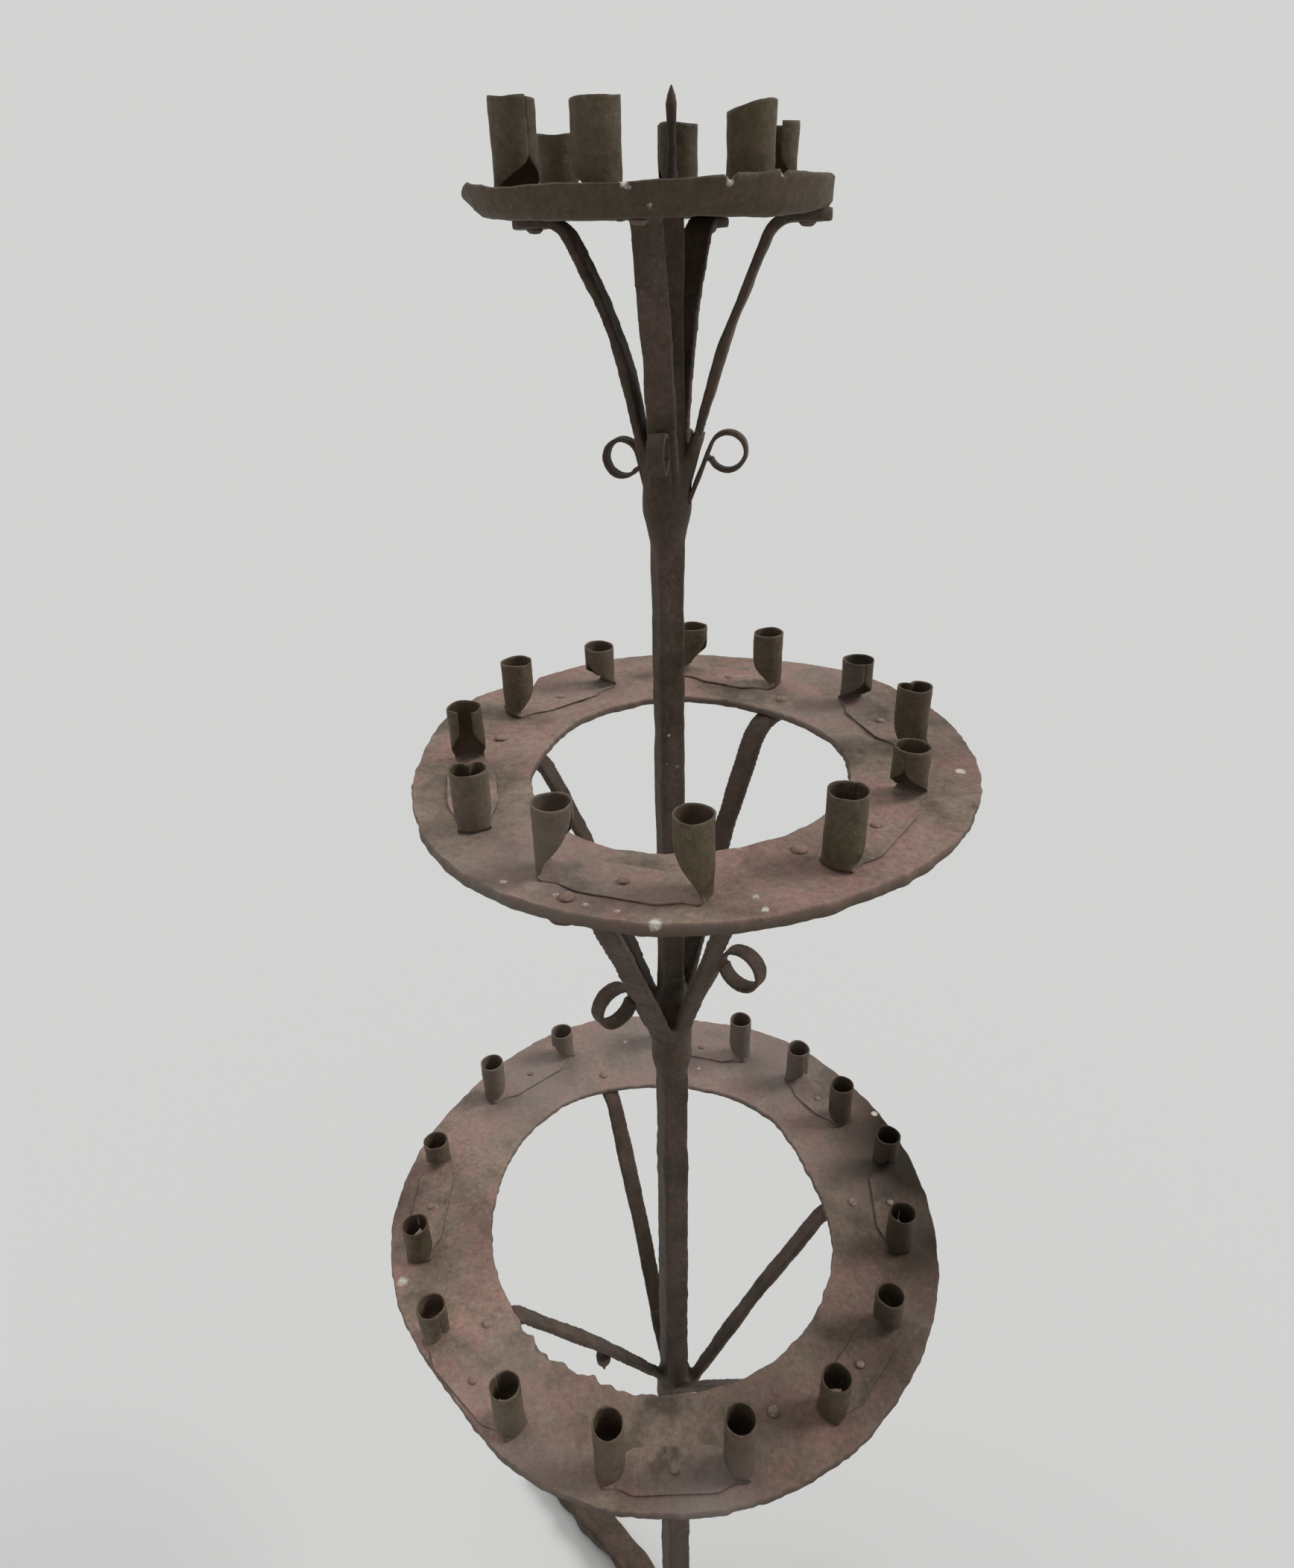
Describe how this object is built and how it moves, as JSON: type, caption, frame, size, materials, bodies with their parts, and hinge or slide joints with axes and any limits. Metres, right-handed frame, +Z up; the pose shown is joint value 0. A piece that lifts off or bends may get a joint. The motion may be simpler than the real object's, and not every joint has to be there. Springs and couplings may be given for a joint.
{
  "type": "pricket candle stand",
  "caption": "Tall forged iron candle stand: a square stem on low legs carries a drip tray with a spike and flat rings on curved struts, with rolled sheet sockets for thin candles.",
  "frame": {"origin": "the stem's axis at the floor", "axes": "+Z up the stem, -Y towards the front of the picture, +X to the right"},
  "size_m": [0.5689, 0.5617, 1.832],
  "materials": {
    "dark_wrought_iron": "hammered wrought iron, dark brown oxide",
    "rusted_plate_iron": "hammered plate, dull pinkish brown rust with pitted edges",
    "sheet_iron": "rolled sheet iron, dark olive brown oxide",
    "rivet_iron": "hammered rivet heads, dark oxide"
  },
  "bodies": {
    "root": {"back_left_leg": "dark_wrought_iron", "drip_tray": "sheet_iron", "front_leg": "dark_wrought_iron", "lower_ring": "rusted_plate_iron", "lower_socket_pair_back": "sheet_iron", "lower_socket_pair_back_left": "sheet_iron", "lower_socket_pair_back_right": "sheet_iron", "lower_socket_pair_front": "sheet_iron", "lower_socket_pair_front_left": "sheet_iron", "lower_socket_pair_front_right": "sheet_iron", "lower_socket_pair_left": "sheet_iron", "lower_socket_pair_right": "sheet_iron", "lower_stem": "dark_wrought_iron", "lower_strip_rivets": "rivet_iron", "lower_strut_back": "dark_wrought_iron", "lower_strut_front": "dark_wrought_iron", "lower_strut_left": "dark_wrought_iron", "lower_strut_right": "dark_wrought_iron", "lower_strut_rivets": "rivet_iron", "middle_ring": "rusted_plate_iron", "middle_scroll_left": "dark_wrought_iron", "middle_scroll_right": "dark_wrought_iron", "middle_socket_pair_back": "sheet_iron", "middle_socket_pair_back_left": "sheet_iron", "middle_socket_pair_front": "sheet_iron", "middle_socket_pair_front_right": "sheet_iron", "middle_socket_pair_left": "sheet_iron", "middle_socket_pair_right": "sheet_iron", "middle_strip_rivets": "rivet_iron", "middle_strut_back_left": "dark_wrought_iron", "middle_strut_back_right": "dark_wrought_iron", "middle_strut_front_left": "dark_wrought_iron", "middle_strut_front_right": "dark_wrought_iron", "middle_strut_rivets": "rivet_iron", "right_leg": "dark_wrought_iron", "tray_scroll_back": "dark_wrought_iron", "tray_scroll_front": "dark_wrought_iron", "tray_scroll_left": "dark_wrought_iron", "tray_scroll_right": "dark_wrought_iron", "tray_socket_pair_back": "sheet_iron", "tray_socket_pair_front_left": "sheet_iron", "tray_socket_pair_right": "sheet_iron", "tray_strip_rivets": "rivet_iron", "tray_strut_back": "dark_wrought_iron", "tray_strut_front": "dark_wrought_iron", "tray_strut_left": "dark_wrought_iron", "tray_strut_right": "dark_wrought_iron", "tray_strut_rivets": "rivet_iron", "upper_stem_with_pricket": "dark_wrought_iron"}
  },
  "joints": []
}
